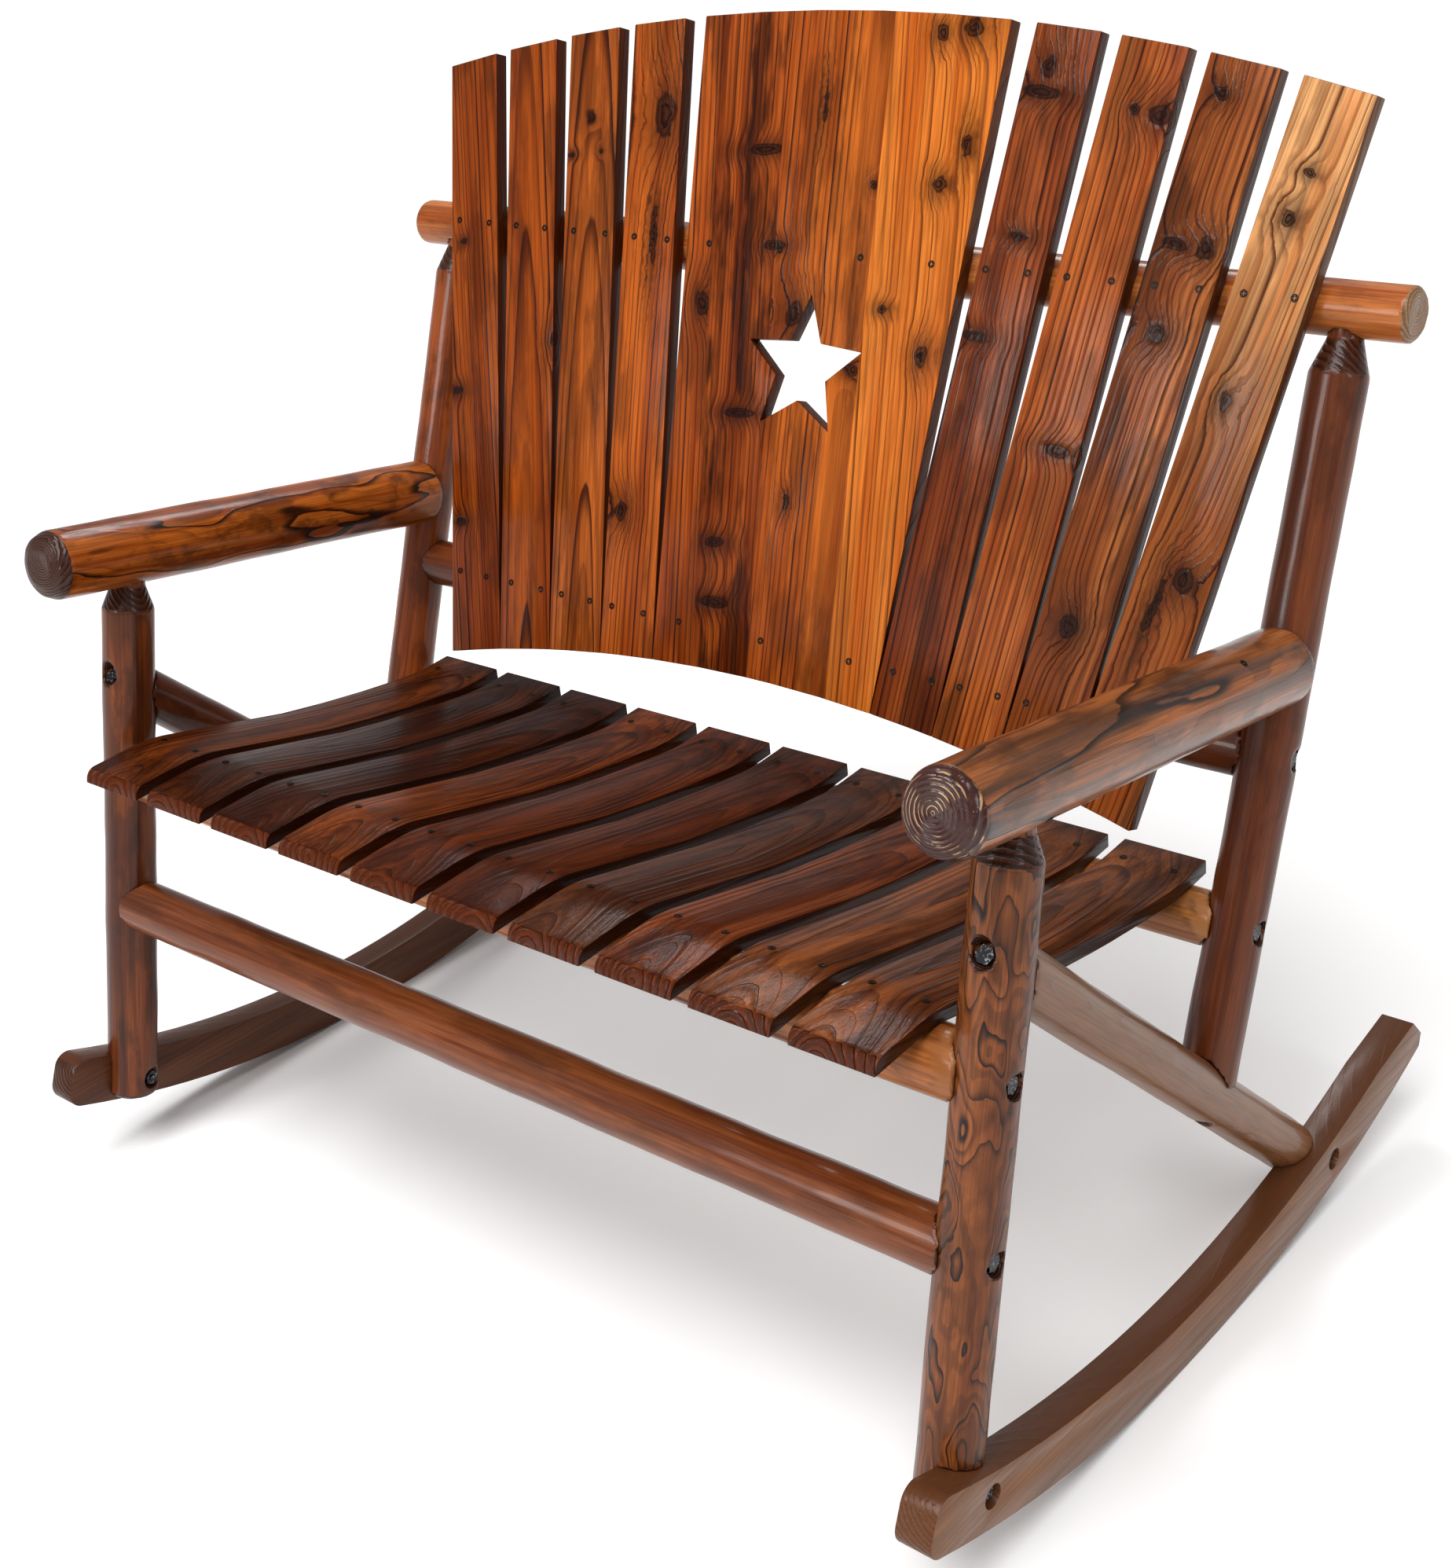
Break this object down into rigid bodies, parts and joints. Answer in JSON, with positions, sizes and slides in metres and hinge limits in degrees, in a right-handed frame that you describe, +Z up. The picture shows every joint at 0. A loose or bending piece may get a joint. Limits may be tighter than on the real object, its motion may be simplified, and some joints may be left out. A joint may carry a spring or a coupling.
{
  "type": "rocking bench",
  "caption": "Two-seat rocking bench of turned logs on sawn curved rockers, with a contoured slatted seat, log armrests and a fan-shaped slatted back pierced by a five-point star.",
  "frame": {"origin": "middle of the line where the two rockers touch the floor, with the bench at rest", "axes": "+X to the bench's right as seen from the front, +Y towards its back, +Z up"},
  "size_m": [1.3, 0.9906, 1.2424],
  "materials": {
    "rocker_wood": "sawn plank, stained mid brown, satin lacquer",
    "brace_wood": "turned log, stained mid brown, satin lacquer",
    "log_wood": "turned log, charred grain brushed and stained, gloss lacquer",
    "seat_wood": "brushed charred board, dark brown, gloss lacquer",
    "back_wood": "charred board, orange brown with dark grain, gloss lacquer",
    "bolt_steel": "black oxide"
  },
  "bodies": {
    "root": {"rocker_left": "rocker_wood", "front_leg_left": "log_wood", "rear_post_left": "log_wood", "armrest_left": "log_wood", "side_brace_left": "brace_wood", "rocker_right": "rocker_wood", "front_leg_right": "log_wood", "rear_post_right": "log_wood", "armrest_right": "log_wood", "side_brace_right": "brace_wood", "crest_rail": "log_wood", "front_seat_rail": "log_wood", "front_stretcher": "log_wood", "rear_seat_rail": "log_wood", "lower_back_rail": "log_wood", "seat_slat_01": "seat_wood", "seat_slat_02": "seat_wood", "seat_slat_03": "seat_wood", "seat_slat_04": "seat_wood", "seat_slat_05": "seat_wood", "seat_slat_06": "seat_wood", "seat_slat_07": "seat_wood", "seat_slat_08": "seat_wood", "seat_slat_09": "seat_wood", "seat_slat_10": "seat_wood", "back_panel": "back_wood", "back_slat_left_1": "back_wood", "back_slat_left_2": "back_wood", "back_slat_left_3": "back_wood", "back_slat_left_4": "back_wood", "back_slat_right_1": "back_wood", "back_slat_right_2": "back_wood", "back_slat_right_3": "back_wood", "back_slat_right_4": "back_wood", "rocker_bolts": "bolt_steel", "rocker_nuts": "bolt_steel", "rail_lag_bolts": "bolt_steel", "brace_lag_bolts": "bolt_steel", "post_lag_bolts": "bolt_steel"}
  },
  "joints": []
}
